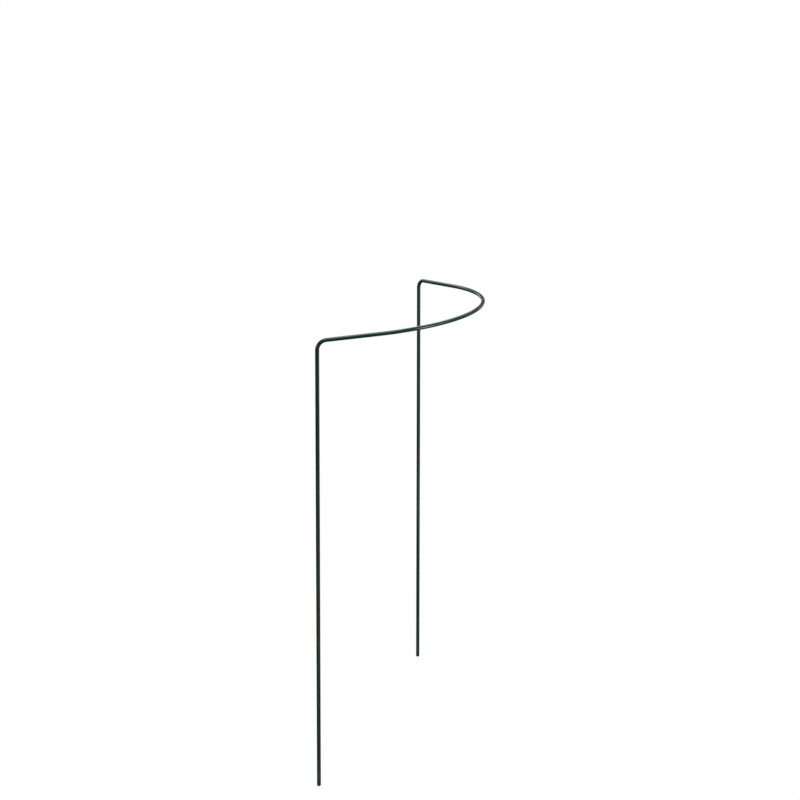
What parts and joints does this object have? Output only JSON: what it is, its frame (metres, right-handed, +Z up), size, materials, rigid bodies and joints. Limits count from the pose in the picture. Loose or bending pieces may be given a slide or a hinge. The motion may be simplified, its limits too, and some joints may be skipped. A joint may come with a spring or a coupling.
{
  "type": "shrub support",
  "caption": "Half-round shrub support: a dark green coated steel rod bent into an open bow that holds back stems, on long legs that push into the soil.",
  "frame": {"origin": "midway between the two leg tips, level with them, where the support is held by the soil", "axes": "+Z up along the legs; +X from the left leg to the right leg; the bow reaches out towards -Y"},
  "size_m": [0.4804, 0.1748, 0.7145],
  "materials": {
    "bare_steel": "drawn, bare",
    "green_plastic": "smooth extruded, half gloss",
    "cap_plastic": "moulded, satin"
  },
  "bodies": {
    "root": {"steel_core": "bare_steel", "plastic_coat": "green_plastic", "left_leg_cap": "cap_plastic", "right_leg_cap": "cap_plastic"}
  },
  "joints": []
}
